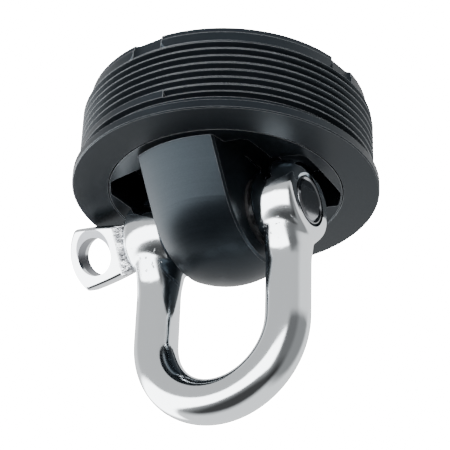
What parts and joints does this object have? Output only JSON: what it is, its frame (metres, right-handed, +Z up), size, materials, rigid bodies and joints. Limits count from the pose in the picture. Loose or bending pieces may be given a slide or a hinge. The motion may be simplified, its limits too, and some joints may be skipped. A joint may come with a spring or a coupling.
{
  "type": "flush swivel padeye with shackle",
  "caption": "Flush swivel padeye: a threaded, flanged body holds a ball-bearing hub whose rounded lug carries a forged D shackle on a screw pin.",
  "frame": {"origin": "centre of the flange's outer face, on the swivel axis", "axes": "+Z up the thread into the deck, X along the shackle pin at rest with the pin's eye at -X"},
  "size_m": [0.0609, 0.056, 0.0632],
  "materials": {
    "body_anodised": "satin black hard anodising over turned metal",
    "hub_anodised": "satin black hard anodising over turned and milled metal",
    "bush_plastic": "plain black bearing plastic",
    "seal_rubber": "moulded black rubber",
    "race_steel": "ground hard steel",
    "ball_steel": "polished stainless balls",
    "cage_plastic": "natural acetal",
    "washer_plastic": "dark filled slippery plastic",
    "spring_steel": "rolled spring steel",
    "cover_anodised": "satin black anodising, turned face",
    "ring_steel": "stamped stainless spring ring",
    "shackle_steel": "forged stainless, mirror polished",
    "pin_steel": "turned and forged stainless, polished"
  },
  "bodies": {
    "body": {"threaded_body": "body_anodised", "rim_seal": "seal_rubber", "lower_race": "race_steel", "radial_outer_race": "race_steel", "wave_spring": "spring_steel", "cover_plate": "cover_anodised", "cover_seal": "seal_rubber", "snap_ring": "ring_steel"},
    "hub": {"swivel_hub": "hub_anodised", "pin_bush_eye_side": "bush_plastic", "pin_bush_thread_side": "bush_plastic", "upper_race": "race_steel", "radial_inner_race": "race_steel", "top_washer": "washer_plastic"},
    "thrust_train": {"thrust_balls": "ball_steel", "thrust_cage": "cage_plastic"},
    "radial_train": {"radial_balls": "ball_steel", "radial_cage": "cage_plastic"},
    "shackle": {"shackle_bow": "shackle_steel", "shackle_pin": "pin_steel"}
  },
  "joints": [
    {"name": "hub_swivel", "type": "hinge", "parent": "body", "child": "hub", "pos_m": [0, 0, 0], "axis": [0, 0, 1], "continuous": true},
    {"name": "thrust_cage_turn", "type": "hinge", "parent": "body", "child": "thrust_train", "pos_m": [0, 0, 0.00477], "axis": [0, 0, 1], "continuous": true},
    {"name": "radial_cage_turn", "type": "hinge", "parent": "body", "child": "radial_train", "pos_m": [0, 0, 0.011], "axis": [0, 0, 1], "continuous": true},
    {"name": "shackle_swing", "type": "hinge", "parent": "hub", "child": "shackle", "pos_m": [0, 0, -0.006], "axis": [1, 0, 0], "range_deg": [-92, 92]}
  ],
  "couplings": [
    {"joint": "thrust_cage_turn", "follows": "hub_swivel", "ratio": 0.5},
    {"joint": "radial_cage_turn", "follows": "hub_swivel", "ratio": 0.4823}
  ]
}
